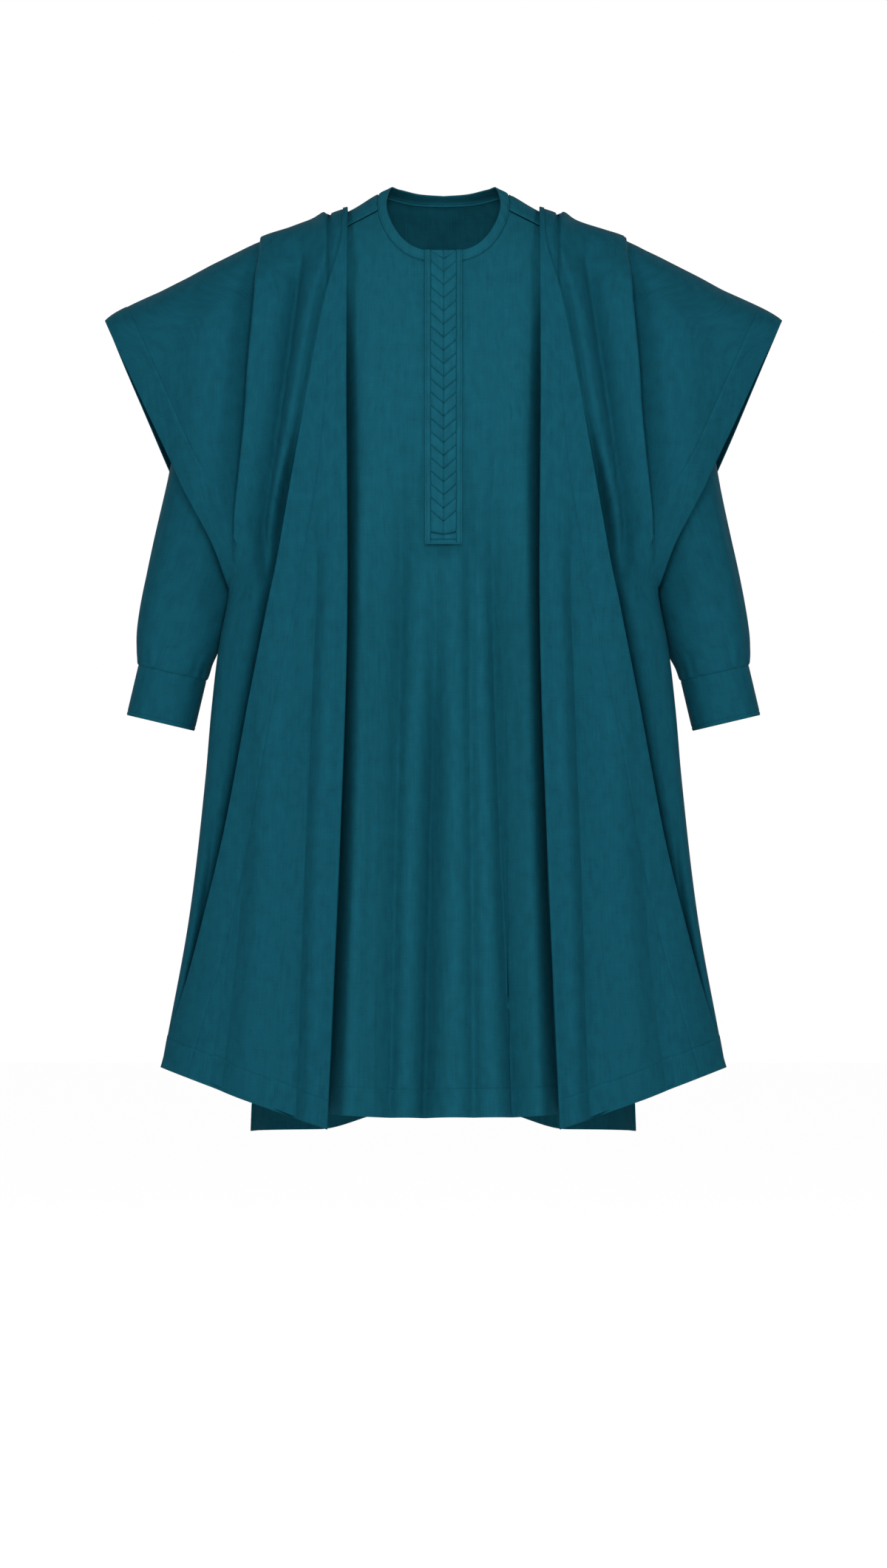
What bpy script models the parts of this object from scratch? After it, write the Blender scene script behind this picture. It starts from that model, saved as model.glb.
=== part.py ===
"""Grand boubou robe: wide-sleeved over-robe whose fronts are turned back, joined at the
shoulders to a round-necked body with a placket, long sleeves and cuffs.

The garment keeps the form it has when worn and is open at neck, hem, cuffs and sleeves.
Frame: the front faces -Y, +X is the viewer's right, +Z is up, and the origin is the middle
of the neck at shoulder height. The tables are in millimetres and meshes are made in metres.
"""

import math
from collections import namedtuple

import bmesh
import bpy
import numpy as np

# Driving sizes, in millimetres
MM = 0.001
CLOTH = 1.4             # one layer of suiting-weight cotton
DOUBLE_CLOTH = 2.0      # neck band, placket and cuffs are two layers
SEAM_GAP = 0.3          # clear space kept between two pieces that meet
EDGE_SHIFT = 0.5        # half the space between panels that meet edge to edge
RIDGE_REACH = 60.0      # how far from a ridge the rows of a panel stay close together
CROWDING = 1.55         # how much closer the first rows lie than the last
ARMHOLE_GAP = 2.6       # the sleeve starts this far out from the body's armhole edge
BULGE = 2.3             # squareness of a level section through the garment

NECK_SIDE = 79.0        # half width of the neck seam
SHOULDER_SEAM_OUT = (203.0, -84.0)   # outer end of the forward shoulder seam, x and z
SHOULDER_POINT_Z = -60.0
UNDERARM_Z = -265.0
BODY_FRONT_HEM = -1106.0
BODY_BACK_HEM = -1125.0
BODY_BACK_ARCH = 21.0   # rise of the body's back hem to its middle
ARCH_OUT = 150.0        # how far from the middle the arch begins
ARCH_IN = 60.0          # and where it has its full height
HEM_HALF = 230.0        # half width of the body's hem
VENT_RISE = 40.0        # rise of the body's front hem towards its side vents

ROBE_NECK = 116.0       # where each robe front starts on the shoulder
ROBE_RIDGE_TOP = -16.0
ROBE_BACK_NECK = -62.0  # lowest point of the robe's wide back neck
ROBE_UNDERARM = -474.0
ROBE_SIDE_HEM = -1046.0
ROBE_FOLD_HEM = -1120.0
ROBE_BACK_HEM = -1092.0
TURN_TOP = 3.6          # height of the turned-back layer over the one below, at the shoulder
TURN_LOW = 7.0          # the same at the hem
CLEAR_TOP = 5.0         # space kept between robe and body at the shoulder
CLEAR_LOW = 10.0        # the same CLEAR_DROP further down
CLEAR_DROP = 900.0
CLEAR_HALF = 225.0      # half width over which the robe lies on the body
RIDGE_FADE = 25.0       # below the ridge, the height over which that space begins
STEP_SHARPNESS = 4.0    # how steep the riser of a step fold is

PLACKET_HALF = 22.0
PLACKET_TOP = -69.5
PLACKET_LOW = -421.0
CUFF_HEIGHT = 59.5
PLACKET_CLEAR = 2.2     # under the placket, over the hollow of the front's flat facets

Section = namedtuple("Section", "z half_width middle front back corner")
Edge = namedtuple("Edge", "z x")
Ring = namedtuple("Ring", "x y z across deep lean")
Loop = namedtuple("Loop", "turn x z")
Fold = namedtuple("Fold", "top_x top_z low_x low_z bow width depth fade step")

# Level sections of the body: height, half width, middle line, reach to front and back, and
# how round the sides are
BODY_SECTIONS = [
    Section(12, 55, 10, 5, 24, 2.3),
    Section(0, 79.6, 10, 24, 48, 2.3),
    Section(-19, 111.5, 10, 44, 62, 2.3),
    Section(-40, 155, 10, 62, 76, 2.3),
    Section(-60, 207, 10, 74, 86, 2.3),
    Section(-84, 224, 10, 86, 94, 2.3),
    Section(-120, 236, 10, 102, 103, 2.3),
    Section(-165, 240, 10, 114, 110, 2.3),
    Section(-215, 237, 10, 121, 113, 2.3),
    Section(-250, 229, 10, 124, 113, 2.3),
    Section(-265, 221, 10, 125, 112, 2.3),
    Section(-340, 215, 10, 126, 107, 2.3),
    Section(-520, 212, 10, 125, 106, 2.3),
    Section(-760, 218, 8, 130, 116, 2.3),
    Section(-1000, 226, 6, 138, 132, 2.3),
    Section(-1140, 231, 6, 144, 142, 2.3),
]

# Level sections of the over-robe; above the underarm they run round the arm
ROBE_SECTIONS = [
    Section(-7, 88, 10, 40, 74, 2.2),
    Section(-16, 116, 10, 52, 84, 2.2),
    Section(-31, 160, 10, 66, 93, 2.2),
    Section(-48, 210, 10, 80, 101, 2.1),
    Section(-69, 249, 10, 94, 107, 2.0),
    Section(-110, 326, 9, 107, 114, 1.7),
    Section(-152, 406, 8, 115, 119, 1.5),
    Section(-220, 404, 6, 120, 126, 1.6),
    Section(-300, 378, 4, 124, 136, 1.9),
    Section(-400, 326, 0, 124, 146, 2.3),
    Section(-440, 298, -6, 118, 152, 2.3),
    Section(-460, 275, -14, 112, 155, 2.2),
    Section(-474, 257, -24, 107, 156, 2.3),
    Section(-482, 257.5, -27, 107, 156, 2.2),
    Section(-540, 267, -28, 108, 155, 2.0),
    Section(-620, 277, -24, 112, 152, 2.0),
    Section(-700, 285, -20, 117, 150, 2.0),
    Section(-870, 305, -12, 126, 148, 2.1),
    Section(-1046, 337, -8, 135, 152, 2.3),
    Section(-1140, 352, -8, 138, 155, 2.5),
]

# Openings cut in the panels: the body's armhole and the wide sleeve of the robe, seen from
# the front. Below the underarm each panel ends at its side seam, where the sections are widest
ARMHOLE = [
    Edge(0, 216),
    Edge(-60, 207),
    Edge(-84, 203),
    Edge(-120, 191),
    Edge(-165, 187),
    Edge(-215, 197),
    Edge(-250, 213),
    Edge(UNDERARM_Z, 221),
]
ROBE_FRONT_OPENING = [
    Edge(-152, 406),
    Edge(-263, 354),
    Edge(-420, 277),
    Edge(ROBE_UNDERARM, 257),
]
ROBE_BACK_OPENING = [
    Edge(-152, 406),
    Edge(-240, 369),
    Edge(-341, 326),
    Edge(-430, 284),
    Edge(ROBE_UNDERARM, 257),
]

# The line where each robe front turns back, and the free edge of what is turned back
FOLD_EDGE = [
    Edge(-17, 116),
    Edge(-210, 118),
    Edge(-520, 117),
    Edge(-760, 125),
    Edge(-1120, 141),
]
TURNED_EDGE = [
    Edge(-17, 120),
    Edge(-61, 123),
    Edge(-124, 141),
    Edge(-300, 174),
    Edge(-520, 213),
    Edge(-780, 264),
    Edge(-930, 299),
    Edge(-983, 314),
    Edge(-1049, 332),
]

# Neck seam and neck rim, from the front middle (0 degrees) round one side to the back (180)
NECK_SEAM = [
    Loop(0, 0, -81.5),
    Loop(20, 25, -80),
    Loop(40, 46, -71.5),
    Loop(60, 64, -54.5),
    Loop(78, 75.5, -34),
    Loop(93, NECK_SIDE, -19),
    Loop(110, 78, 0),
    Loop(130, 66, -3),
    Loop(155, 36, -10),
    Loop(180, 0, -12),
]
NECK_RIM = [
    Loop(0, 0, -70),
    Loop(20, 21.5, -69),
    Loop(40, 40.5, -61.5),
    Loop(60, 55.5, -46.5),
    Loop(78, 65.5, -27),
    Loop(93, 68.5, -10),
    Loop(110, 63.5, 7.5),
    Loop(130, 53, 6.5),
    Loop(155, 29, 1.5),
    Loop(180, 0, -0.5),
]
RIDGE_TURN = 110.0      # where both loops cross the top of the shoulder
SEAM_TURN = 93.0        # where the forward shoulder seam meets the neck

# Sleeve rings from armhole to cuff: centre, half width seen from the front, half depth, lean
SLEEVE_RINGS = [
    Ring(264, 10, -245, 66, 70, 56),
    Ring(277, 11, -322, 51, 58, 27),
    Ring(290, 6, -395, 51, 44, 18),
    Ring(314, -3, -476, 45, 35, 14),
    Ring(320.5, 3, -530, 46, 36, 12),
    Ring(321.5, 10, -557, 46.5, 37, 13),
    Ring(325.5, 12, -573, 41.5, 36.5, 13.3),
]
CUFF_RING = Ring(325.6, 11.9, -574.5, 41.2, 36.2, 13.3)

# The largest folds. Depth is positive for a ridge and negative for a trough; a step fold is
# raised on one side of its line, the inner side where its depth is positive
ROBE_FOLDS = [
    Fold(141, -17, 139, -112, 0, 6, -4, 10, 1),
    Fold(221, -52, 255, -474, -6, 26, 9, 30, 1),
    Fold(176, -90, 212, -420, 0, 11, -5, 70, 0),
    Fold(160, -60, 190, -420, 0, 10, 4, 70, 0),
    Fold(252, -90, 262, -420, 0, 17, -6, 60, 0),
    Fold(285, -560, 315, -1040, 0, 16, -5, 80, 0),
]
TURNED_FOLDS = [
    Fold(157, -500, 184, -960, 0, 15, -5, 160, 0),
    Fold(138, -560, 164, -1120, 0, 12, 5, 120, 0),
    Fold(224, -700, 272, -1090, 0, 20, -4, 120, 0),
]
BODY_FOLDS = [
    Fold(96, -300, 104, -1110, 0, 16, -8, 200, 0),
    Fold(60, -420, 62, -1110, 0, 12, -5, 220, 0),
    Fold(16, -480, 18, -1110, 0, 10, -5, 200, 0),
    Fold(78, -380, 82, -1110, 0, 11, 3, 200, 0),
]
BACK_FOLDS = [
    Fold(60, -160, 96, -1092, 0, 22, -9, 240, 0),
    Fold(118, -120, 170, -1080, 0, 20, 8, 200, 0),
    Fold(172, -200, 236, -1060, 0, 22, -9, 220, 0),
    Fold(228, -150, 262, -430, 0, 20, -7, 90, 0),
]

TEAL = (0.006, 0.094, 0.138, 1.0)
TEAL_LIGHT = (0.011, 0.107, 0.150, 1.0)
TEAL_SLEEVE = (0.006, 0.077, 0.109, 1.0)


def read(rows, column, at):
    """Value of a column at a height or turn, on a smooth curve through the table's rows."""
    keys = np.array([row[0] for row in rows], dtype=float)
    values = np.array([getattr(row, column) for row in rows], dtype=float)
    if keys[0] > keys[-1]:
        keys, values = keys[::-1], values[::-1]
    rise = np.diff(values) / np.diff(keys)
    slope = np.concatenate([rise[:1], (rise[1:] + rise[:-1]) / 2, rise[-1:]])
    at = np.asarray(at, dtype=float)
    k = np.clip(np.searchsorted(keys, at) - 1, 0, len(keys) - 2)
    span = keys[k + 1] - keys[k]
    t = np.clip((at - keys[k]) / span, 0, 1)
    curve = ((1 + 2 * t) * (1 - t) ** 2 * values[k] + t * t * (3 - 2 * t) * values[k + 1]
             + span * t * (1 - t) * ((1 - t) * slope[k] - t * slope[k + 1]))
    beyond = np.minimum(at - keys[0], 0) * slope[0] + np.maximum(at - keys[-1], 0) * slope[-1]
    return curve + beyond


def panel_edge(opening, sections, z):
    """Outer edge of a panel: round the opening above the underarm, down the side seam below."""
    z = np.asarray(z, dtype=float)
    return np.where(z > opening[-1].z, read(opening, "x", z), read(sections, "half_width", z))


def soft_step(t):
    t = np.clip(t, 0, 1)
    return t * t * (3 - 2 * t)


def depth(sections, side, x, z):
    """Y of a garment's surface at x and z: side is -1 on the front and 1 on the back."""
    inside = np.clip(1 - np.abs(x / read(sections, "half_width", z)) ** BULGE, 0, 1)
    reach = np.where(side < 0, read(sections, "front", z), read(sections, "back", z))
    return read(sections, "middle", z) + side * reach * inside ** (1 / read(sections, "corner", z))


def cleared(y, side, x, z, gap):
    """Y moved off the body wherever the robe would come nearer to it than the gap."""
    body = depth(BODY_SECTIONS, side, x, z) + side * gap
    over = side * (y - body)
    return body + side * (over + np.sqrt(over ** 2 + gap ** 2)) / 2


def relief(folds, x, z):
    """Height of the folds at x and z, measured out from the plain surface."""
    total = np.zeros_like(x)
    for fold in folds:
        along = (fold.top_z - z) / (fold.top_z - fold.low_z)
        t = np.clip(along, 0, 1)
        path = fold.top_x + (fold.low_x - fold.top_x) * t + 4 * fold.bow * t * (1 - t)
        off = (x - path) / fold.width
        shape = np.exp(-off ** 2)
        if fold.step:
            shape = -np.tanh(STEP_SHARPNESS * off) * np.exp(-np.abs(off))
        start = soft_step((fold.top_z - z) / fold.fade + 1)
        end = soft_step((z - fold.low_z) / fold.fade + 1)
        total += fold.depth * shape * start * end
    return total


def ridge_height(sections, x_at):
    """Height where the line x_at(z) reaches the top ridge of the garment."""
    low = np.full_like(x_at(0.0), -165.0)
    high = np.full_like(low, 14.0)
    for _ in range(40):
        middle = (low + high) / 2
        over = read(sections, "half_width", middle) > x_at(middle)
        low = np.where(over, middle, low)
        high = np.where(over, high, middle)
    return (low + high) / 2


def travel(drop):
    """Length along a column from the ridge, for a height below it."""
    return np.sqrt((drop + RIDGE_REACH) ** 2 - RIDGE_REACH ** 2)


def columns(sections, x_at, ridge, start, start_side, hem, side, rows, crowd):
    """Grid of points down a panel's columns, over the ridge first where they start before it."""
    first = np.sign(start_side * side) * travel(np.maximum(ridge - start, 0))
    last = travel(ridge - hem)
    v = (np.linspace(0, 1, rows) ** crowd)[:, None]
    run = first + (last - first) * v
    z = ridge + RIDGE_REACH - np.sqrt(run ** 2 + RIDGE_REACH ** 2)
    x = x_at(z)
    face = np.where(run < 0, -side, side)
    return x, z, face


def normals(grid, side):
    """Unit normals of a grid of points, pointing away from the body."""
    across = np.gradient(grid, axis=1)
    down = np.gradient(grid, axis=0)
    normal = np.cross(across, down)
    normal /= np.linalg.norm(normal, axis=2, keepdims=True) + 1e-9
    middle = len(grid) // 2
    if normal[middle, normal.shape[1] // 2, 1] * side < 0:
        normal = -normal
    return normal


def cloth_material(name, colour):
    material = bpy.data.materials.new(name)
    material.use_nodes = True
    shader = material.node_tree.nodes["Principled BSDF"]
    shader.inputs["Base Color"].default_value = colour
    shader.inputs["Roughness"].default_value = 0.9
    shader.inputs["Metallic"].default_value = 0.0
    return material


def make_sheet(name, grid, thickness, colour, closed=False):
    """A cloth piece: a grid laid on the points, given its thickness by Solidify."""
    rows, cols = grid.shape[:2]
    work = bmesh.new()
    bmesh.ops.create_grid(work, x_segments=cols - 1, y_segments=rows - 1, size=1.0)
    for vert in work.verts:
        i = round((vert.co.x + 1) / 2 * (cols - 1))
        j = round((vert.co.y + 1) / 2 * (rows - 1))
        vert.co = grid[j, i] * MM
    if closed:
        bmesh.ops.remove_doubles(work, verts=work.verts, dist=0.00001)
    mesh = bpy.data.meshes.new(name)
    work.to_mesh(mesh)
    work.free()
    piece = bpy.data.objects.new(name, mesh)
    collection.objects.link(piece)
    wall = piece.modifiers.new("wall", "SOLIDIFY")
    wall.thickness = thickness * MM
    wall.offset = 0.0
    mesh.materials.append(cloth_material(name, colour))
    mesh.shade_smooth()
    return piece


def mirrored(half):
    """Whole grid from the half on one side of the middle plane."""
    other = half[:, :0:-1].copy()
    other[..., 0] *= -1
    return np.concatenate([other, half], axis=1)


def loop_points(table, turns):
    """Points of a neck loop: it runs on the front of the body, then over the ridge."""
    x = read(table, "x", turns)
    z = read(table, "z", turns)
    side = np.where(turns < RIDGE_TURN, -1.0, 1.0)
    return np.stack([x, depth(BODY_SECTIONS, side, x, z), z], axis=-1)


def body_panel(side, rows, neck_cols, shoulder_cols):
    """Half of the body's front or back; the back comes over the shoulder to the seam."""
    neck_turns = np.linspace(0, SEAM_TURN, neck_cols) if side < 0 else np.linspace(
        180, SEAM_TURN, neck_cols)
    neck_x = read(NECK_SEAM, "x", neck_turns)
    neck_z = read(NECK_SEAM, "z", neck_turns)
    outward = np.linspace(0, 1, shoulder_cols)[1:]
    seam_z = neck_z[-1] + (SHOULDER_SEAM_OUT[1] - neck_z[-1]) * outward
    seam_x = neck_x[-1] + (SHOULDER_SEAM_OUT[0] - neck_x[-1]) * outward
    top_x = np.concatenate([neck_x, seam_x])
    top_z = np.concatenate([neck_z, seam_z + side * EDGE_SHIFT])
    share = top_x / panel_edge(ARMHOLE, BODY_SECTIONS, top_z)
    share[-1] = 1.0

    def x_at(z):
        return share * panel_edge(ARMHOLE, BODY_SECTIONS, z)

    ridge = np.maximum(ridge_height(BODY_SECTIONS, x_at), top_z)
    on_front = np.concatenate([neck_turns < RIDGE_TURN, np.ones(len(seam_x), dtype=bool)])
    start_side = np.where(on_front, -1.0, 1.0)
    hem = BODY_BACK_HEM + BODY_BACK_ARCH * soft_step(
        (ARCH_OUT - share * HEM_HALF) / (ARCH_OUT - ARCH_IN))
    if side < 0:
        hem = BODY_FRONT_HEM + VENT_RISE * share ** 5
    x, z, face = columns(BODY_SECTIONS, x_at, ridge, top_z, start_side, hem, side, rows, CROWDING)
    y = depth(BODY_SECTIONS, face, x, z) + side * EDGE_SHIFT
    grid = np.stack([x, y, z], axis=-1)
    if side < 0:
        grid += normals(grid, side) * relief(BODY_FOLDS, x, z)[..., None]
    return grid


def robe_grid(side, x_at, start, hem, rows, folds, extra=0.0):
    """Points of a robe layer, held clear of the body, with its folds and its lift."""
    ridge = ridge_height(ROBE_SECTIONS, x_at)
    start = np.minimum(start, ridge)
    x, z, face = columns(ROBE_SECTIONS, x_at, ridge, start, np.full_like(ridge, side), hem,
                         side, rows, CROWDING)
    y = depth(ROBE_SECTIONS, face, x, z) + side * EDGE_SHIFT
    grid = np.stack([x, y, z], axis=-1)
    out = normals(grid, side)
    grid += out * relief(folds, x, z)[..., None]
    gap = CLEAR_TOP + (CLEAR_LOW - CLEAR_TOP) * soft_step(-z / CLEAR_DROP)
    below = soft_step((ridge - z) / RIDGE_FADE) * (np.abs(x) < CLEAR_HALF)
    grid[..., 1] += (cleared(grid[..., 1], side, x, z, gap) - grid[..., 1]) * below
    return grid + out * np.asarray(extra)[..., None]


def robe_front(rows, turned_cols, turn_cols, under_cols):
    """One folded sheet: turned-back layer, round turn at the fold edge, then the layer under it."""
    under = np.linspace(0, 1, under_cols) ** 1.1
    turned = np.linspace(1, 0, turned_cols)

    def under_x(z):
        inner = read(FOLD_EDGE, "x", z)
        return inner + (panel_edge(ROBE_FRONT_OPENING, ROBE_SECTIONS, z) - inner) * under

    def turned_x(z):
        inner = read(FOLD_EDGE, "x", z)
        return inner + (read(TURNED_EDGE, "x", z) - inner) * turned

    hem_drop = ROBE_SIDE_HEM - ROBE_FOLD_HEM
    high = np.full(under_cols, 0.0)
    lower = robe_grid(-1, under_x, high, ROBE_SIDE_HEM - hem_drop * (1 - under) + 3 * under,
                      rows, ROBE_FOLDS)
    share = np.linspace(0, 1, rows)[:, None]
    lift = TURN_TOP + (TURN_LOW - TURN_TOP) * share
    upper = robe_grid(-1, turned_x, np.full(turned_cols, 0.0),
                      ROBE_SIDE_HEM - 3 - (hem_drop - 3) * (1 - turned), rows, TURNED_FOLDS, lift)
    upper[:, -1] = lower[:, 0] + normals(lower, -1)[:, 0] * lift
    inward = lower[:, 0] - lower[:, 1]
    inward /= np.linalg.norm(inward, axis=1, keepdims=True)
    out = normals(lower, -1)[:, 0]
    turn = []
    for angle in np.linspace(math.pi, 0, turn_cols + 2)[1:-1]:
        turn.append(lower[:, 0] + out * lift / 2 * (1 - math.cos(angle))
                    + inward * lift / 2 * math.sin(angle))
    return np.concatenate([upper, np.stack(turn, axis=1), lower], axis=1)


def robe_back(rows, neck_cols, ridge_cols):
    """Half of the robe's back, from the middle to the sleeve opening and the side."""
    angle = math.pi / 2 * (1 - np.linspace(1, 0, neck_cols) ** 2)
    neck_x = ROBE_NECK * np.sin(angle)
    neck_z = ROBE_BACK_NECK + (ROBE_RIDGE_TOP - ROBE_BACK_NECK) * (1 - np.cos(angle))
    neck_share = neck_x / panel_edge(ROBE_BACK_OPENING, ROBE_SECTIONS, neck_z)
    share = np.concatenate([neck_share, np.linspace(neck_share[-1], 1, ridge_cols)[1:]])
    start = np.concatenate([neck_z, np.zeros(ridge_cols - 1)])

    def x_at(z):
        return share * panel_edge(ROBE_BACK_OPENING, ROBE_SECTIONS, z)

    hem = ROBE_BACK_HEM + (ROBE_SIDE_HEM - ROBE_BACK_HEM) * share ** 2
    return robe_grid(1, x_at, start, hem, rows, BACK_FOLDS)


def armhole_ring(turns):
    """The body's armhole as a ring: 0 degrees at the shoulder, 90 at the front."""
    middle = (SHOULDER_POINT_Z + UNDERARM_Z) / 2
    half = (SHOULDER_POINT_Z - UNDERARM_Z) / 2
    z = middle + half * np.cos(turns)
    x = panel_edge(ARMHOLE, BODY_SECTIONS, z)
    side = np.where(np.sin(turns) > 0, -1.0, 1.0)
    return np.stack([x + ARMHOLE_GAP, depth(BODY_SECTIONS, side, x, z), z], axis=-1)


def ring_points(ring, turns):
    """A sleeve ring, square to a line that leans out from the body."""
    lean = math.radians(ring.lean)
    out = np.array([math.cos(lean), 0, math.sin(lean)])
    front = np.array([0, -1, 0])
    centre = np.array([ring.x, ring.y, ring.z])
    return (centre + ring.across * np.cos(turns)[:, None] * out
            + ring.deep * np.sin(turns)[:, None] * front)


def sleeve(rows, around):
    """Sleeve from the armhole down to the cuff, on a smooth path through its rings."""
    turns = np.linspace(0, 2 * math.pi, around)
    rings = [armhole_ring(turns)]
    for ring in SLEEVE_RINGS:
        rings.append(ring_points(ring, turns))
    rings = np.array(rings)
    rise = np.diff(rings, axis=0)
    slope = np.concatenate([rise[:1], (rise[1:] + rise[:-1]) / 2, rise[-1:]])
    grid = []
    for place in np.linspace(0, len(rings) - 1, rows):
        k = min(int(place), len(rings) - 2)
        t = place - k
        grid.append((1 + 2 * t) * (1 - t) ** 2 * rings[k] + t * t * (3 - 2 * t) * rings[k + 1]
                    + t * (1 - t) * ((1 - t) * slope[k] - t * slope[k + 1]))
    return np.array(grid)


def cuff(around):
    """Straight band below the sleeve."""
    turns = np.linspace(0, 2 * math.pi, around)
    lean = math.radians(CUFF_RING.lean)
    step = np.array([math.sin(lean), 0, -math.cos(lean)])
    top = ring_points(CUFF_RING, turns)
    return np.array([top + step * CUFF_HEIGHT * t for t in (0.0, 0.5, 1.0)])


def neck_band(around):
    """Ring between the neck seam and the rim, all round the neck."""
    half = np.linspace(0, 180, around)
    seam = loop_points(NECK_SEAM, half)
    rim = loop_points(NECK_RIM, half)
    gap = (SEAM_GAP + CLOTH) / np.linalg.norm(seam - rim, axis=1, keepdims=True)
    start = seam + (rim - seam) * gap
    grid = np.array([start, (start + rim) / 2, rim])
    other = grid[:, ::-1].copy()
    other[..., 0] *= -1
    return np.concatenate([grid, other[:, 1:]], axis=1)


def placket(rows):
    """Strip on the front of the body, moved out from its surface."""
    across = np.linspace(-PLACKET_HALF, PLACKET_HALF, 5)
    x, z = np.meshgrid(across, np.linspace(PLACKET_TOP, PLACKET_LOW, rows))
    lift = CLOTH / 2 + PLACKET_CLEAR + DOUBLE_CLOTH / 2
    y = depth(BODY_SECTIONS, -1, x, z)
    grid = np.stack([x, y, z], axis=-1)
    return grid + normals(grid, -1) * lift


for old in list(bpy.data.objects):
    bpy.data.objects.remove(old, do_unlink=True)
collection = bpy.data.collections.new("grand_boubou_robe")
bpy.context.scene.collection.children.link(collection)

make_sheet("body_front", mirrored(body_panel(-1, 17, 6, 5)), CLOTH, TEAL)
make_sheet("body_back", mirrored(body_panel(1, 17, 6, 5)), CLOTH, TEAL)
make_sheet("neck_band", neck_band(13), DOUBLE_CLOTH, TEAL_LIGHT, closed=True)
make_sheet("placket", placket(10), DOUBLE_CLOTH, TEAL_LIGHT)
make_sheet("robe_back", mirrored(robe_back(18, 6, 9)), CLOTH, TEAL)
for label, sign in (("left", 1), ("right", -1)):
    flip = np.array([sign, 1, 1])
    make_sheet("robe_front_" + label, robe_front(20, 6, 3, 15) * flip, CLOTH, TEAL)
    make_sheet("sleeve_" + label, sleeve(9, 21) * flip, CLOTH, TEAL_SLEEVE, closed=True)
    make_sheet("cuff_" + label, cuff(17) * flip, DOUBLE_CLOTH, TEAL_SLEEVE, closed=True)
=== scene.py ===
import math
import random
from collections import namedtuple

import bmesh
import bpy
import numpy as np
from mathutils import Matrix, Vector


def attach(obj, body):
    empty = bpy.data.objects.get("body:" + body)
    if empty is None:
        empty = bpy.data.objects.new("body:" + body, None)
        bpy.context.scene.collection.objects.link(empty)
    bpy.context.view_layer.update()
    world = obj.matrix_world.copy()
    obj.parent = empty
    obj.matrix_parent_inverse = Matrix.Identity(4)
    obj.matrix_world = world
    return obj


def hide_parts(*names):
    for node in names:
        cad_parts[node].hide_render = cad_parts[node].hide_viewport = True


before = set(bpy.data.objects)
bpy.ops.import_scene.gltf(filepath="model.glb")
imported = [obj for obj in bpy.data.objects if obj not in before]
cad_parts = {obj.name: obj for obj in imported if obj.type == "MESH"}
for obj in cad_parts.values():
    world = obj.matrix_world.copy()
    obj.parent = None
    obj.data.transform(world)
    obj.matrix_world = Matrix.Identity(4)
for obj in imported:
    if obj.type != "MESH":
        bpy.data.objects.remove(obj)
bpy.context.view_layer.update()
print("frame loaded")

# Sizes in millimetres: the front faces -Y, the origin is the middle of the neck
mm = 0.001
clothWall = 1.4
doubleWall = 2.0            # neck band, placket and cuffs are two layers
seamGap = 0.3
edgeShift = 0.5             # half the space between body panels that meet edge to edge
robeEdgeShift = 0.06        # the same in the over-robe, whose seams are pressed shut
ridgeReach = 60.0           # how far from a ridge the rows of a panel stay close together
bulge = 2.3                 # squareness of a level section through the garment
crease = 4.0                # how rounded the bottom of a fold is
robeUnderarm = -474.0
hemStitch = 34              # from a hem's edge to the stitches that hold its turning

# Section: a level cut through the garment. Edge: a point of a line seen from the front. Ring: a
# slanted cut through a sleeve. Loop: a point of the neckline. Fold: relief along a bowed line, a
# ridge or, with a depth below 0, a trough. Plan: how points are spread along a row or column.
Section = namedtuple("Section", "z halfWidth middle front back corner")
Edge = namedtuple("Edge", "z x")
Ring = namedtuple("Ring", "x y z across deep lean")
Loop = namedtuple("Loop", "turn x z")
Fold = namedtuple("Fold", "topX topZ lowX lowZ bow width depth fade")
Plan = namedtuple("Plan", "near far share")

bodySections = [
    Section(12, 55, 10, 5, 24, 2.3),
    Section(0, 79.6, 10, 24, 48, 2.3),
    Section(-19, 111.5, 10, 44, 62, 2.3),
    Section(-40, 155, 10, 62, 76, 2.3),
    Section(-60, 207, 10, 74, 86, 2.3),
    Section(-84, 224, 10, 86, 94, 2.3),
    Section(-120, 236, 10, 102, 103, 2.3),
    Section(-165, 240, 10, 114, 110, 2.3),
    Section(-215, 237, 10, 121, 113, 2.3),
    Section(-250, 229, 10, 124, 113, 2.3),
    Section(-265, 221, 10, 125, 112, 2.3),
    Section(-340, 215, 10, 126, 107, 2.3),
    Section(-520, 212, 10, 125, 106, 2.3),
    Section(-760, 218, 8, 130, 116, 2.3),
    Section(-1000, 226, 6, 138, 132, 2.3),
    Section(-1140, 231, 6, 144, 142, 2.3),
]
robeSections = [
    Section(-7, 88, 10, 40, 74, 2.2),
    Section(-16, 116, 10, 52, 84, 2.2),
    Section(-31, 160, 10, 66, 93, 2.2),
    Section(-48, 210, 10, 80, 101, 2.1),
    Section(-69, 249, 10, 94, 107, 2.0),
    Section(-110, 326, 9, 107, 114, 1.7),
    Section(-152, 406, 8, 115, 119, 1.5),
    Section(-220, 404, 6, 120, 126, 1.6),
    Section(-300, 378, 4, 124, 136, 1.9),
    Section(-400, 326, 0, 124, 146, 2.3),
    Section(-440, 298, -6, 118, 152, 2.3),
    Section(-460, 275, -14, 112, 155, 2.2),
    Section(-474, 257, -24, 107, 156, 2.2),
    Section(-482, 257.5, -27, 107, 156, 2.1),
    Section(-540, 268.5, -28, 108, 155, 2.0),
    Section(-620, 278, -24, 112, 152, 2.0),
    Section(-700, 285, -20, 117, 150, 2.0),
    Section(-870, 305, -12, 126, 148, 2.1),
    Section(-1046, 337, -8, 135, 152, 2.3),
    Section(-1140, 352, -8, 138, 155, 2.5),
]

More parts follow.
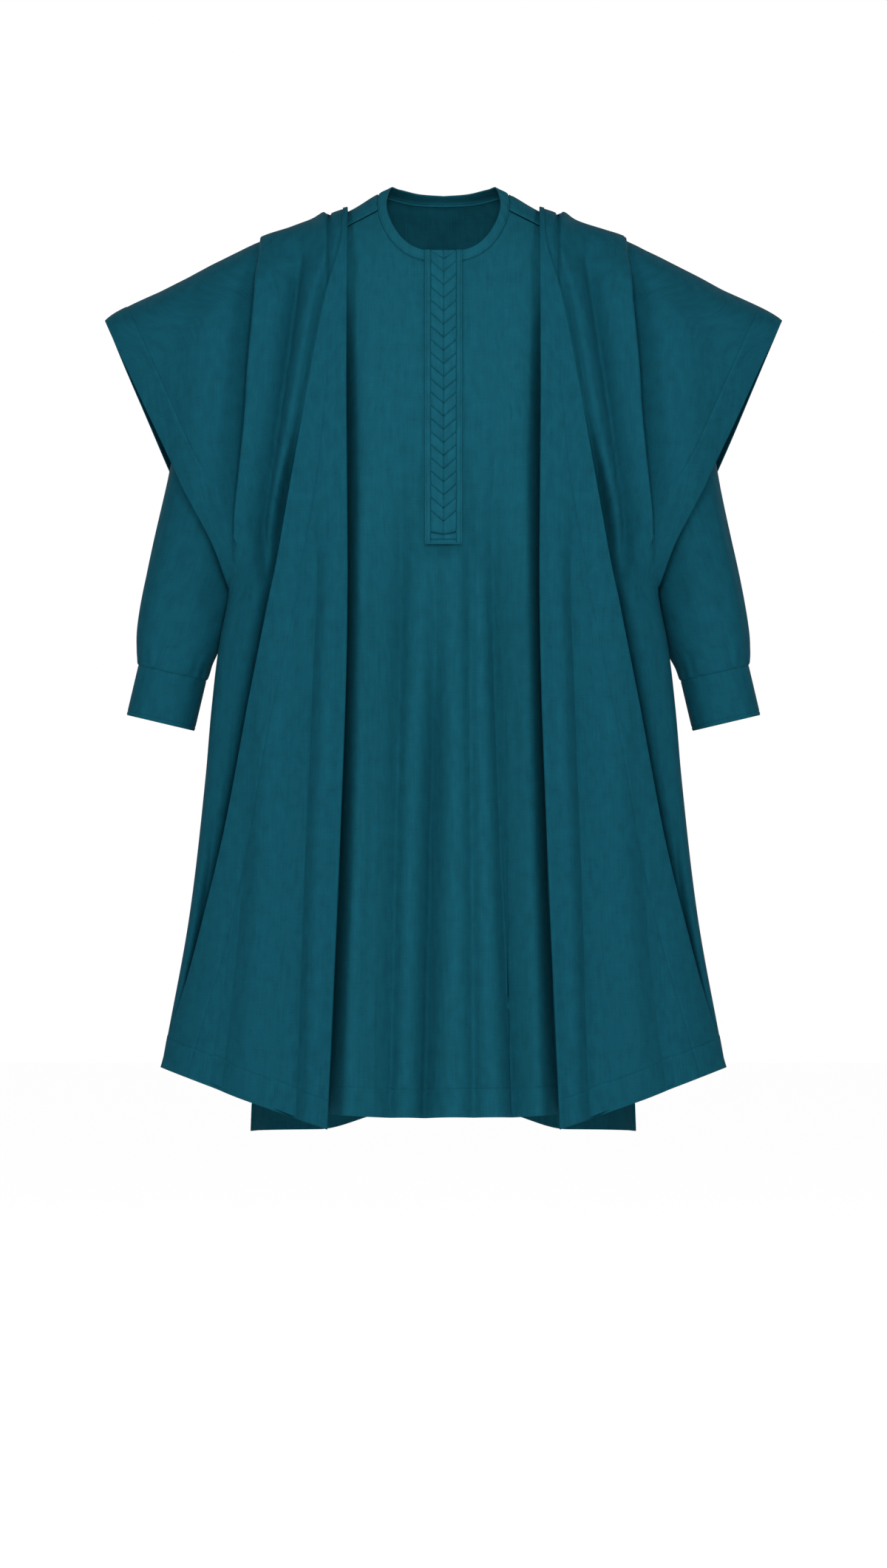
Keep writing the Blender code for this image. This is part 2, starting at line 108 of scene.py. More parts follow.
# Edges seen from the front: the body's armhole, the openings of the wide sleeves, the line where
# each front turns back, the free edge of what is turned back, and the two shoulder pleats
armhole = [Edge(0, 216), Edge(-60, 207), Edge(-84, 203), Edge(-120, 191), Edge(-165, 187),
           Edge(-215, 197), Edge(-250, 213), Edge(-265, 221)]
frontOpening = [Edge(-152, 406), Edge(-263, 354), Edge(-420, 277), Edge(robeUnderarm, 257)]
backOpening = [Edge(-152, 406), Edge(-240, 369), Edge(-341, 326), Edge(-430, 284),
               Edge(robeUnderarm, 257)]
foldEdge = [Edge(-17, 116), Edge(-210, 118), Edge(-520, 117), Edge(-760, 125), Edge(-1120, 141)]
turnedEdge = [Edge(-17, 120), Edge(-61, 123), Edge(-124, 141), Edge(-300, 174), Edge(-520, 213),
              Edge(-780, 264), Edge(-930, 299), Edge(-983, 314), Edge(-1049, 332)]
innerPleat = [Edge(-17, 141), Edge(-48, 139), Edge(-108, 139), Edge(-300, 146), Edge(-1120, 165)]
outerPleat = [Edge(-45, 220), Edge(-109, 223), Edge(-165, 229), Edge(-210, 233), Edge(-263, 236),
              Edge(-337, 243), Edge(-401, 250), Edge(-474, 254), Edge(-1120, 300)]

# Neck seam and rim, from the front middle (0 degrees) round one side to the back (180)
neckSeam = [Loop(0, 0, -81.5), Loop(20, 25, -80), Loop(40, 46, -71.5), Loop(60, 64, -54.5),
            Loop(78, 75.5, -34), Loop(93, 79, -19), Loop(110, 78, 0), Loop(130, 66, -3),
            Loop(155, 36, -10), Loop(180, 0, -12)]
neckRim = [Loop(0, 0, -70), Loop(20, 21.5, -69), Loop(40, 40.5, -61.5), Loop(60, 55.5, -46.5),
           Loop(78, 65.5, -27), Loop(93, 68.5, -10), Loop(110, 63.5, 7.5), Loop(130, 53, 6.5),
           Loop(155, 29, 1.5), Loop(180, 0, -0.5)]
ridgeTurn = 110.0           # where both loops cross the top of the shoulder
seamTurn = 93.0             # where the forward shoulder seam meets the neck
shoulderSeamOut = (203.0, -84.0)

# A turned and stitched hem: distances from the edge where the cloth gets a row of points, the
# stitch line among them
hemRows = [0, 0.7, 1.6, 3, 6, 11, 17, 23, 28, 31, 32.4, 33.2, 33.7, 34.1, 34.6, 35.4, 37, 40]
frontHemRows = [0, 0.7, 1.6, 3, 6, 11, 16, 21, 25, 27.5, 28.7, 29.4, 29.8, 30.2, 30.7, 31.4, 33, 36]


# Reading tables, laying cloth
def smoothBetween(t, first, second, firstRise, secondRise):
    return ((1 + 2 * t) * (1 - t) ** 2 * first + t * t * (3 - 2 * t) * second
            + t * (1 - t) * ((1 - t) * firstRise - t * secondRise))


def middleSlopes(rise):             # the slope at each row, from the rises on both sides of it
    return np.concatenate([rise[:1], (rise[1:] + rise[:-1]) / 2, rise[-1:]])


def readTable(rows, column, at):
    keys = np.array([row[0] for row in rows], dtype=float)
    values = np.array([getattr(row, column) for row in rows], dtype=float)
    if keys[0] > keys[-1]:
        keys, values = keys[::-1], values[::-1]
    slope = middleSlopes(np.diff(values) / np.diff(keys))
    at = np.asarray(at, dtype=float)
    k = np.clip(np.searchsorted(keys, at) - 1, 0, len(keys) - 2)
    span = keys[k + 1] - keys[k]
    t = np.clip((at - keys[k]) / span, 0, 1)
    curve = smoothBetween(t, values[k], values[k + 1], span * slope[k], span * slope[k + 1])
    return curve + np.minimum(at - keys[0], 0) * slope[0] + np.maximum(at - keys[-1], 0) * slope[-1]


def panelEdge(opening, sections, z):        # half width of a panel: its opening, then its side seam
    z = np.asarray(z, dtype=float)
    return np.where(z > opening[-1].z, readTable(opening, "x", z),
                    readTable(sections, "halfWidth", z))


def softStep(t):
    t = np.clip(t, 0, 1)
    return t * t * (3 - 2 * t)


def sectionDepth(sections, side, x, z):     # y of the cloth's middle, front (-1) or back (1)
    inside = np.clip(1 - np.abs(x / readTable(sections, "halfWidth", z)) ** bulge, 0, 1)
    reach = np.where(side < 0, readTable(sections, "front", z), readTable(sections, "back", z))
    corner = readTable(sections, "corner", z)
    return readTable(sections, "middle", z) + side * reach * inside ** (1 / corner)


def clearOfBody(y, side, x, z, gap):        # eases the over-robe out to lie on the body
    body = sectionDepth(bodySections, side, x, z) + side * gap
    over = side * (y - body)
    return body + side * (over + np.sqrt(over ** 2 + gap ** 2)) / 2


def foldRelief(folds, x, z):
    total = np.zeros_like(x)
    for fold in folds:
        t = np.clip((fold.topZ - z) / (fold.topZ - fold.lowZ), 0, 1)
        path = fold.topX + (fold.lowX - fold.topX) * t + 4 * fold.bow * t * (1 - t)
        start = softStep((fold.topZ - z) / fold.fade + 0.5)
        end = softStep((z - fold.lowZ) / fold.fade + 1)
        shape = np.exp(-((x - path) / fold.width) ** 2)         # a ridge is round
        if fold.depth < 0:                                      # a trough is creased
            shape = np.exp((crease - np.sqrt((x - path) ** 2 + crease ** 2)) / fold.width)
        total += fold.depth * shape * start * end
    return total


def varied(folds, seed):            # the same folds a little differently, for the other side
    draw = random.Random(seed)
    other = []
    for fold in folds:
        other.append(fold._replace(lowX=fold.lowX + draw.uniform(-3, 3),
                                   bow=fold.bow + draw.uniform(-2, 2),
                                   width=fold.width * draw.uniform(0.9, 1.1),
                                   depth=fold.depth * draw.uniform(0.88, 1.12)))
    return other


def ripple(x, z, seed, height, acrossSize, alongSize):      # slight unevenness of hanging cloth
    draw = random.Random(seed)
    total = np.zeros_like(x)
    for _ in range(9):
        total += np.sin(x / acrossSize * draw.uniform(3, 9) + z / alongSize * draw.uniform(-6, 6)
                        + draw.uniform(0, 2 * math.pi))
    return total * height / 3


def ridgeHeight(sections, xAt, count):      # height where each column crosses the shoulder's top
    low = np.full(count, -165.0)    # every ridge lies between these two heights
    high = np.full(count, 14.0)
    for _ in range(40):
        middle = (low + high) / 2
        over = readTable(sections, "halfWidth", middle) > xAt(middle)
        low = np.where(over, middle, low)
        high = np.where(over, high, middle)
    return (low + high) / 2


def travel(drop):                           # run along a column, crowded at the ridge
    return np.sqrt((drop + ridgeReach) ** 2 - ridgeReach ** 2)


# Where the points of a row or column lie: at set distances from its two ends and spread between
def makePlan(count, nearEnd=(0,), farEnd=(0,), crowdNear=1.0, crowdFar=1.0):
    t = np.linspace(0, 1, count)
    middle = t ** crowdNear / (t ** crowdNear + (1 - t) ** crowdFar)
    near = np.concatenate([nearEnd[:-1], np.full(count, nearEnd[-1]),
                           np.full(len(farEnd) - 1, nearEnd[-1])])
    far = np.concatenate([np.full(len(nearEnd) - 1, farEnd[-1]), np.full(count, farEnd[-1]),
                          farEnd[-2::-1] if len(farEnd) > 1 else []])
    share = np.concatenate([np.zeros(len(nearEnd) - 1), middle, np.ones(len(farEnd) - 1)])
    return Plan(near, far, share)


def acrossSpan(inner, outer, plan, z):
    width = outer(z) - inner(z)
    reach = plan.near.max() + plan.far.max()
    squeeze = np.minimum(1, width / (1.5 * reach)) if reach > 0 else 1.0
    return inner(z) + plan.near * squeeze + (width - (plan.near + plan.far) * squeeze) * plan.share


def spanColumns(spans):             # neighbouring spans share their guide line
    return sum(len(plan.share) for _, _, plan in spans) - len(spans) + 1


def acrossSpans(spans, z):
    start = 0
    x = np.empty(np.broadcast_shapes(z.shape, (spanColumns(spans),)))
    z = np.broadcast_to(z, x.shape)
    for inner, outer, plan in spans:
        stop = start + len(plan.share)
        x[..., start:stop] = acrossSpan(inner, outer, plan, z[..., start:stop])
        start = stop - 1
    return x


# Columns that start at one height, before or behind the ridge, and hang over it to the hem
def hangRows(xAt, ridge, start, startSide, hem, side, plan):
    first = np.sign(startSide * side) * travel(np.maximum(ridge - start, 0))
    last = travel(ridge - hem)
    near, far, share = (part[:, None] for part in plan)
    run = first + near + (last - first - near - far) * share
    z = ridge + ridgeReach - np.sqrt(run ** 2 + ridgeReach ** 2)
    return xAt(z), z, np.where(run < 0, -side, side), last - run


def rowFromEnd(plan, distance):             # the row or column at this distance from the edge
    return int(np.argmin(np.abs(plan.far - distance) + 99 * (1 - plan.share)))


def unit(vectors):
    return vectors / (np.linalg.norm(vectors, axis=-1, keepdims=True) + 1e-9)


def normalsOf(grid, side):
    normal = unit(np.cross(np.gradient(grid, axis=1), np.gradient(grid, axis=0)))
    if normal[len(grid) // 2, normal.shape[1] // 2, 1] * side < 0:
        normal = -normal
    return normal


def lineGroove(distance, at, depth=0.7, width=0.9):         # cloth drawn in under a line of stitches
    return -depth * np.exp(-((distance - at) / width) ** 2)


def hemLift(distance, at, lift=0.5):        # the turning under a hem holds the cloth out a little
    return lift * softStep((at - distance) / 1.4 + 0.5) + lineGroove(distance, at)


def bothSides(half):                        # values that are the same on left and right
    return np.concatenate([half[:, :0:-1], half], axis=1)


def mirrored(half):                         # points of a half panel, and their mirror image
    grid = bothSides(half)
    grid[:, :half.shape[1] - 1, 0] *= -1
    return grid


def clothMap(mesh, grid, index):            # UVs in metres along the cloth: weft across, warp up
    steps = np.linalg.norm(np.diff(grid, axis=1), axis=2)
    across = np.concatenate([np.zeros((len(grid), 1)), np.cumsum(steps, axis=1)], axis=1)
    across -= across[:, across.shape[1] // 2][:, None]
    steps = np.linalg.norm(np.diff(grid, axis=0), axis=2)
    down = np.concatenate([np.zeros((1, grid.shape[1])), np.cumsum(steps, axis=0)])
    up = down[-1] - down + grid[-1, :, 2]
    loops = np.empty(len(mesh.loops), dtype=np.int32)
    mesh.loops.foreach_get("vertex_index", loops)
    uv = np.stack([across.ravel()[index][loops], up.ravel()[index][loops]], axis=1) * mm
    mesh.uv_layers.new(name="cloth").data.foreach_set("uv", uv.astype(np.float32).ravel())


def addObject(name, data):
    thing = bpy.data.objects.new(name, data)
    bpy.context.scene.collection.objects.link(thing)
    return thing


# A cloth piece: a grid laid on the points, given its thickness by Solidify
def layCloth(name, grid, wall, material, node, closed=False):
    rows, cols = grid.shape[:2]
    work = bmesh.new()
    bmesh.ops.create_grid(work, x_segments=cols - 1, y_segments=rows - 1, size=1.0)
    mesh = bpy.data.meshes.new(name)
    work.to_mesh(mesh)
    work.free()
    flat = np.empty(len(mesh.vertices) * 3, dtype=np.float32)
    mesh.vertices.foreach_get("co", flat)
    flat = flat.reshape(-1, 3)
    column = np.rint((flat[:, 0] + 1) / 2 * (cols - 1)).astype(int)
    row = np.rint((flat[:, 1] + 1) / 2 * (rows - 1)).astype(int)
    index = row * cols + column
    mesh.vertices.foreach_set("co", (grid.reshape(-1, 3)[index] * mm).astype(np.float32).ravel())
    clothMap(mesh, grid, index)
    if closed:
        work = bmesh.new()
        work.from_mesh(mesh)
        bmesh.ops.remove_doubles(work, verts=work.verts, dist=0.01 * mm)
        work.to_mesh(mesh)
        work.free()
    piece = addObject(name, mesh)
    shell = piece.modifiers.new("wall", "SOLIDIFY")
    shell.thickness = wall * mm
    shell.offset = 0.0
    mesh.materials.append(material)
    mesh.shade_smooth()
    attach(piece, "root")
    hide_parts(node)
    return piece


# A row of machine stitches: short rounded threads lying in the groove along a line
stitchSize = {"pitch": 3.4, "length": 2.3, "thickness": 0.42}


def sewLine(work, line, normals, lift, pitch):
    steps = np.linalg.norm(np.diff(line, axis=0), axis=1)
    along = np.concatenate([[0], np.cumsum(steps)])
    for at in np.arange(pitch * 0.5, along[-1] - pitch * 0.4, pitch):
        place = np.array([np.interp(at, along, line[:, k]) for k in range(3)])
        ahead = np.array([np.interp(at + 0.5, along, line[:, k]) for k in range(3)])
        out = np.array([np.interp(at, along, normals[:, k]) for k in range(3)])
        tangent = unit(ahead - place)
        out = unit(out)
        beside = np.cross(out, tangent)
        half = stitchSize["length"] * pitch / stitchSize["pitch"] / 2
        thick = stitchSize["thickness"] / 2
        place = place + out * lift
        matrix = np.eye(4)
        matrix[:3, 0] = beside * thick * mm
        matrix[:3, 1] = out * thick * mm
        matrix[:3, 2] = tangent * half * mm
        matrix[:3, 3] = place * mm
        bmesh.ops.create_uvsphere(work, u_segments=5, v_segments=4, radius=1.0,
                                  matrix=Matrix(matrix.tolist()))


def sewPiece(name, lift, lines, pitch=stitchSize["pitch"]):
    work = bmesh.new()
    for line, normals in lines:
        sewLine(work, line, normals, lift, pitch)
    mesh = bpy.data.meshes.new(name)
    bmesh.ops.recalc_face_normals(work, faces=work.faces)
    work.to_mesh(mesh)
    work.free()
    piece = addObject(name, mesh)
    mesh.materials.append(thread)
    mesh.shade_smooth()
    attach(piece, "root")
    return piece


# Materials
def toLinear(hexColour):
    values = [int(hexColour[k:k + 2], 16) / 255 for k in (1, 3, 5)]
    return tuple(v / 12.92 if v <= 0.04045 else ((v + 0.055) / 1.055) ** 2.4 for v in values) + (1,)


def addNode(tree, kind, settings=None, links=None):
    node = tree.nodes.new(kind)
    for key, value in (settings or {}).items():
        if isinstance(key, int) or key in node.inputs:
            node.inputs[key].default_value = value
        else:
            setattr(node, key, value)
    for key, value in (links or {}).items():
        tree.links.new(value, node.inputs[key])
    return node


def newMaterial(name):
    material = bpy.data.materials.new(name)
    material.use_nodes = True
    return material, material.node_tree, material.node_tree.nodes["Principled BSDF"]


# Plain-woven cotton suiting, piece-dyed teal and pressed: matt, with fine slubs running both ways
# and a slightly cloudy dye. Threads are really 0.4 mm apart, drawn at about 1.2 mm to show.
weave = {"warpAcross": 1.5, "warpAlong": 60.0, "weftAcross": 22.0, "weftAlong": 1.4,
         "weftShare": 0.38, "cloud": 11.0, "cloudShare": 0.42, "spread": 0.25,
         "threadShort": 1.0, "threadLong": 7.0, "relief": 0.25, "bumpHeight": 0.4,
         "roughness": 0.88, "roughnessSpread": 0.06, "fibreIor": 1.53, "specular": 0.06}


def wovenCotton(name, deep, bright):
    material, tree, shader = newMaterial(name)
    uv = addNode(tree, "ShaderNodeUVMap", {"uv_map": "cloth"}).outputs["UV"]

    def threads(across, along, detail):
        size = addNode(tree, "ShaderNodeMapping",
                       {"Scale": (1 / (across * mm), 1 / (along * mm), 1.0)}, {"Vector": uv})
        return addNode(tree, "ShaderNodeTexNoise", {"noise_dimensions": "2D", "Scale": 1.0,
                                                    "Detail": detail, "Roughness": 0.55},
                       {"Vector": size.outputs["Vector"]}).outputs["Fac"]

    warp = threads(weave["warpAcross"], weave["warpAlong"], 2.0)
    weft = threads(weave["weftAcross"], weave["weftAlong"], 2.0)
    cloud = threads(weave["cloud"], weave["cloud"] * 1.6, 3.0)
    slub = addNode(tree, "ShaderNodeMix", {"data_type": "FLOAT", "Factor": weave["weftShare"]},
                   {"A": warp, "B": weft}).outputs["Result"]
    tone = addNode(tree, "ShaderNodeMix", {"data_type": "FLOAT", "Factor": weave["cloudShare"]},
                   {"A": slub, "B": cloud}).outputs["Result"]
    spread = addNode(tree, "ShaderNodeMapRange",
                     {"From Min": 0.5 - weave["spread"], "From Max": 0.5 + weave["spread"]},
                     {"Value": tone}).outputs["Result"]
    colour = addNode(tree, "ShaderNodeMix", {"data_type": "RGBA", "A": toLinear(deep),
                                             "B": toLinear(bright)}, {"Factor": spread})
    tree.links.new(colour.outputs["Result"], shader.inputs["Base Color"])

    warpThread = threads(weave["threadShort"], weave["threadLong"], 1.0)
    weftThread = threads(weave["threadLong"], weave["threadShort"], 1.0)
    surface = addNode(tree, "ShaderNodeMath", {"operation": "MAXIMUM"},
                      {0: warpThread, 1: weftThread}).outputs["Value"]
    bump = addNode(tree, "ShaderNodeBump", {"Strength": weave["relief"],
                                            "Distance": weave["bumpHeight"] * mm},
                   {"Height": surface})
    tree.links.new(bump.outputs["Normal"], shader.inputs["Normal"])
    rough = addNode(tree, "ShaderNodeMapRange",
                    {"To Min": weave["roughness"] - weave["roughnessSpread"],
                     "To Max": weave["roughness"] + weave["roughnessSpread"]},
                    {"Value": slub}).outputs["Result"]
    tree.links.new(rough, shader.inputs["Roughness"])
    shader.inputs["IOR"].default_value = weave["fibreIor"]
    shader.inputs["Specular IOR Level"].default_value = weave["specular"]
    return material


# Twisted polyester sewing thread, dyed to match: a little glossier than the cloth, its twist
# showing as a fine change of tone
threadFinish = {"twist": 0.8, "toneSpread": 0.15, "roughness": 0.7, "fibreIor": 1.57,
                "specular": 0.15}


def sewingThread(name, colourHex):
    material, tree, shader = newMaterial(name)
    place = addNode(tree, "ShaderNodeTexCoord").outputs["Object"]
    twist = addNode(tree, "ShaderNodeTexNoise", {"Scale": 1 / (threadFinish["twist"] * mm),
                                                 "Detail": 1.0}, {"Vector": place}).outputs["Fac"]
    ramp = addNode(tree, "ShaderNodeValToRGB", {}, {"Fac": twist})
    base = toLinear(colourHex)[:3]
    for element, sign in zip(ramp.color_ramp.elements, (-1, 1)):
        element.color = tuple(v * (1 + sign * threadFinish["toneSpread"]) for v in base) + (1,)
    tree.links.new(ramp.outputs["Color"], shader.inputs["Base Color"])
    shader.inputs["Roughness"].default_value = threadFinish["roughness"]
    shader.inputs["IOR"].default_value = threadFinish["fibreIor"]
    shader.inputs["Specular IOR Level"].default_value = threadFinish["specular"]
    return material


robeCotton = wovenCotton("teal_plain_weave_cotton_robe", "#094150", "#0f5465")
bodyCotton = wovenCotton("teal_plain_weave_cotton_body", "#0b4553", "#125869")
sleeveCotton = wovenCotton("teal_plain_weave_cotton_sleeve", "#094150", "#0f5465")
trimCotton = wovenCotton("teal_interlined_cotton_trim", "#0d4755", "#145b6c")
thread = sewingThread("teal_polyester_thread", "#0a3c4c")
print("materials made")


# Body of the garment: front and back panel
bodyFrontSize = {"neckColumns": 38, "shoulderColumns": 34, "rows": 150, "hem": -1106.0,
                 "ventRise": 40.0, "seamDeep": 2.0, "seamWide": 3.2, "stitched": 190,
                 "seed": 3, "uneven": (0.35, 90, 400), "flat": (0.60, 1.16), "area": 0.56}
bodyBackSize = {"neckColumns": 26, "shoulderColumns": 26, "rows": 80, "hem": -1125.0, "arch": 21.0,
                "archOut": 150, "archRun": 90, "seamDeep": 0.8, "seamWide": 2.2, "stitched": 300,
                "seed": 5, "uneven": (0.5, 110, 500), "flat": (0.62, 1.20), "area": 0.60}
hemHalfWidth = 230          # of the body
bodyFolds = [
    Fold(-52, -400, -70, -1130, 0, 19, -34, 360),
    Fold(-10, -520, -25, -1130, 0, 19, -48, 420),
    Fold(33, -420, 38, -1130, 0, 14, -24, 360),
    Fold(61, -400, 92, -1130, -3, 17, -34, 340),
    Fold(-97, -380, -114, -1130, 2, 12, 9, 260),
    Fold(99, -400, 116, -1130, -2, 11, 8, 260),
]
edgeCreases = [             # where the fold edge of each front presses beside the body's fullness
    Fold(-119, -170, -143.5, -1130, 8, 6, -34, 200),
    Fold(119, -170, 143.5, -1130, -8, 6, -34, 200),
]


def bodyPanel(side, size):
    far = 0.0 if side < 0 else 180.0
    neckTurns = np.linspace(far, seamTurn, size["neckColumns"])
    neckX = readTable(neckSeam, "x", neckTurns)
    neckZ = readTable(neckSeam, "z", neckTurns)
    outward = np.linspace(0, 1, size["shoulderColumns"])[1:] ** 1.15
    seamX = neckX[-1] + (shoulderSeamOut[0] - neckX[-1]) * outward
    seamZ = neckZ[-1] + (shoulderSeamOut[1] - neckZ[-1]) * outward
    topX = np.concatenate([neckX, seamX])
    topZ = np.concatenate([neckZ, seamZ + side * edgeShift])
    share = topX / panelEdge(armhole, bodySections, topZ)
    share[-1] = 1.0

    def xAt(z):
        return share * panelEdge(armhole, bodySections, z)

    ridge = np.maximum(ridgeHeight(bodySections, xAt, len(share)), topZ)
    onFront = np.concatenate([neckTurns < ridgeTurn, np.ones(len(seamX), dtype=bool)])
    if side < 0:
        hem = size["hem"] + size["ventRise"] * share ** 5
    else:                               # the back hem arches up a little in the middle
        hem = size["hem"] + size["arch"] * softStep(
            (size["archOut"] - share * hemHalfWidth) / size["archRun"])
    plan = makePlan(size["rows"], (0, 0.6, 1.4, 2.6), hemRows, crowdNear=1.25)
    x, z, face, toHem = hangRows(xAt, ridge, topZ, np.where(onFront, -1.0, 1.0), hem, side, plan)
    y = sectionDepth(bodySections, face, x, z) + side * edgeShift
    grid = mirrored(np.stack([x, y, z], axis=-1))
    toHem = bothSides(toHem)
    fromSeam = (plan.near + 400 * plan.share)[:, None]      # right only near the seam
    relief = (ripple(grid[..., 0], grid[..., 2], size["seed"], *size["uneven"])
              + hemLift(toHem, hemStitch)
              - size["seamDeep"] * softStep(1 - fromSeam / size["seamWide"]))
    return grid, normalsOf(grid, side), relief, toHem


def finishPanel(name, cloth, out, toHem, size):
    piece = layCloth(name + "_cloth", cloth, clothWall, bodyCotton, name)
    row = int(np.argmin(np.abs(toHem[:, toHem.shape[1] // 2] - hemStitch)))
    seen = np.abs(cloth[row, :, 0]) < size["stitched"]
    stitches = sewPiece(name + "_stitches", clothWall / 2,
                        [(cloth[row][seen], out[row][seen])])
    return piece


def makeBody():
    grid, out, relief, toHem = bodyPanel(-1, bodyFrontSize)
    x, z = grid[..., 0], grid[..., 2]
    front = grid + out * (foldRelief(bodyFolds, x, z) + relief)[..., None]
    front[..., 1] -= foldRelief(edgeCreases, x, z)
    frontPiece = finishPanel("body_front", front, out, toHem, bodyFrontSize)

    grid, out, relief, toHem = bodyPanel(1, bodyBackSize)
    back = grid + out * relief[..., None]
    return frontPiece, finishPanel("body_back", back, out, toHem, bodyBackSize)


bodyFront, bodyBack = makeBody()
print("body panels made")


# Neck band, faced and topstitched beside its seam
neckBandSize = {"around": 150, "puff": 0.5, "puffWide": 11.5, "stitchAt": 2.6, "stitchPitch": 2.6,
                "seamDeep": 2.4, "seamWide": 2.0, "flat": (0.47, 0.014)}


def loopPoints(loop, turns):
    x = readTable(loop, "x", turns)
    z = readTable(loop, "z", turns)
    side = np.where(turns < ridgeTurn, -1.0, 1.0)
    return np.stack([x, sectionDepth(bodySections, side, x, z), z], axis=-1)


def makeNeckBand():
    size = neckBandSize
    turns = np.linspace(0, 180, size["around"])
    seam = loopPoints(neckSeam, turns)
    rim = loopPoints(neckRim, turns)
    width = np.linalg.norm(seam - rim, axis=1, keepdims=True)
    start = seam + (rim - seam) * seamGap / width
    width = np.linalg.norm(rim - start, axis=1)
    plan = makePlan(7, (0, 0.5, 1.1, 1.7, 2.2, 2.6, 3.0, 3.6), (0, 0.4, 1.0, 1.8))
    near, far, share = (part[:, None] for part in plan)
    at = near + (width - near - far) * share
    grid = start + (rim - start) * (at / width)[..., None]
    grid = mirrored(grid)
    at = bothSides(at)
    out = normalsOf(grid, -1)
    neckMiddle = np.array([0.0, 10.0, 0.0])
    away = np.sign(np.sum(out * (grid - neckMiddle), axis=2, keepdims=True))
    out = out * np.where(away == 0, 1, away)
    puff = size["puff"] * np.sin(math.pi * np.clip(at / size["puffWide"], 0, 1)) ** 0.6
    relief = (puff + lineGroove(at, size["stitchAt"], 0.45, 0.6)
              - size["seamDeep"] * softStep(1 - at / size["seamWide"]))
    band = grid + out * relief[..., None]
    piece = layCloth("neck_band_cloth", band, doubleWall, trimCotton, "neck_band",
                     closed=True)
    row = int(np.argmin(np.abs(plan.near - size["stitchAt"]) + plan.share * 99))
    stitches = sewPiece("neck_band_stitches", doubleWall / 2 - 0.05,
                        [(band[row], out[row])], size["stitchPitch"])


makeNeckBand()
print("neck band made")


# Placket: a strip of stitched-down V tucks between two borders, with a line down its middle
placketSize = {"half": 22.0, "top": -69.5, "low": -421.0, "lift": 2.0, "border": 6.6, "foot": 5.2,
               "borderLift": 1.1, "pitch": 15.7, "slope": 0.87, "firstTuck": 11.0, "tuck": 2.0,
               "line": 3.0, "lineWide": 0.9, "middleDeep": 2.2, "middleWide": 0.75,
               "grooveDeep": 2.4, "grooveWide": 0.75, "edgeLine": 1.8, "footLine": 1.6,
               "flat": (0.046, 0.44)}
placketColumns = [0, 0.35, 0.7, 1.2, 2.2, 4, 6, 8, 10, 12, 13.6, 14.4, 14.9, 15.2, 15.5, 15.9, 16.6,
                  18, 19.4, 20.0, 20.4, 20.8, 21.3, 22]
topRows = [0, 0.6, 1.4, 2.6, 4.2, 6, 7.6, 8.4]
tuckRows = [0, 0.35, 0.7, 1.1, 1.8, 3, 4.6, 6.4, 8.4, 10.4, 12.2, 13.6, 14.6, 15.2]
footRows = [-0.5, -0.2, 0.1, 0.5, 1.2, 2.4, 3.2, 3.6, 4.0, 4.6, 5.2]


def makePlacket():
    size = placketSize
    across = np.array([-x for x in placketColumns[:0:-1]] + placketColumns)
    length = size["top"] - size["low"]
    footAt = length - size["foot"]
    rows = list(topRows)
    start = size["firstTuck"]
    while start < footAt - 1:
        rows += [start + step for step in tuckRows if start + step < footAt - 0.8]
        start += size["pitch"]
    rows += [footAt + step for step in footRows]
    down = np.array(rows)[:, None]
    reach = size["half"] - size["border"]
    rise = np.minimum(np.abs(across), reach)[None, :] * size["slope"]
    follow = softStep(down / 18) * softStep((footAt - down) / 18)
    x = across[None, :] + 0 * down
    z = size["top"] - down + rise * follow          # rows of points run along the V of the tucks
    grid = np.stack([x, sectionDepth(bodySections, -1, x, z), z], axis=-1)
    out = normalsOf(grid, -1)
    inside = softStep((reach - np.abs(x)) / 0.7) * softStep((footAt - down) / 0.7)
    count = (down - size["firstTuck"]) / size["pitch"]
    saw = (count - np.floor(count)) * size["pitch"]
    tuck = size["tuck"] * (1 - saw / size["pitch"]) * softStep(saw / size["lineWide"])
    line = -size["line"] * (np.exp(-(saw / size["lineWide"]) ** 2)
                            + np.exp(-((saw - size["pitch"]) / size["lineWide"]) ** 2))
    fade = softStep((down - 4) / 5)
    middle = -size["middleDeep"] * np.exp(-(x / size["middleWide"]) ** 2)
    toFoot = length - down
    grooves = (lineGroove(np.abs(x), reach, size["grooveDeep"], size["grooveWide"])
               * softStep(toFoot / 4)
               + lineGroove(toFoot, size["foot"], size["grooveDeep"], size["grooveWide"])
               * (np.abs(x) < reach + 0.6)
               + lineGroove(np.abs(x), size["half"] - size["edgeLine"], 0.6, 0.45)
               + lineGroove(toFoot, size["footLine"], 0.35, 0.4))
    relief = (size["lift"] + inside * ((tuck + line) * fade + middle)
              + size["borderLift"] * (1 - inside) + grooves
              - 0.5 * softStep(1 - (size["half"] - np.abs(x))))
    strip = grid + out * relief[..., None]
    piece = layCloth("placket_cloth", strip, doubleWall, trimCotton, "placket")


makePlacket()
print("placket made")


# Over-robe: two fronts, each turned back on itself, and one back
robeSize = {"frontRows": 118, "turnColumns": 7, "frontSideHem": -1046.0, "foldHem": -1120.0,
            "wingStitch": 34, "frontStitch": 30, "edgeCalm": 16, "wingRun": 30,
            "uneven": (0.4, 80, 350), "frontFlat": (0.62, 1.14), "frontArea": 0.42}
robeBackSize = {"rows": 120, "neck": -62.0, "neckX": 116.0, "neckSlant": 0.08, "ridgeTop": -16.0,
                "hem": -1092.0, "edgeWidth": 270.0, "ridgeRun": 70, "seed": 21, "otherSide": 8,
                "uneven": (0.5, 90, 380), "flat": (0.86, 1.14), "area": 0.76}
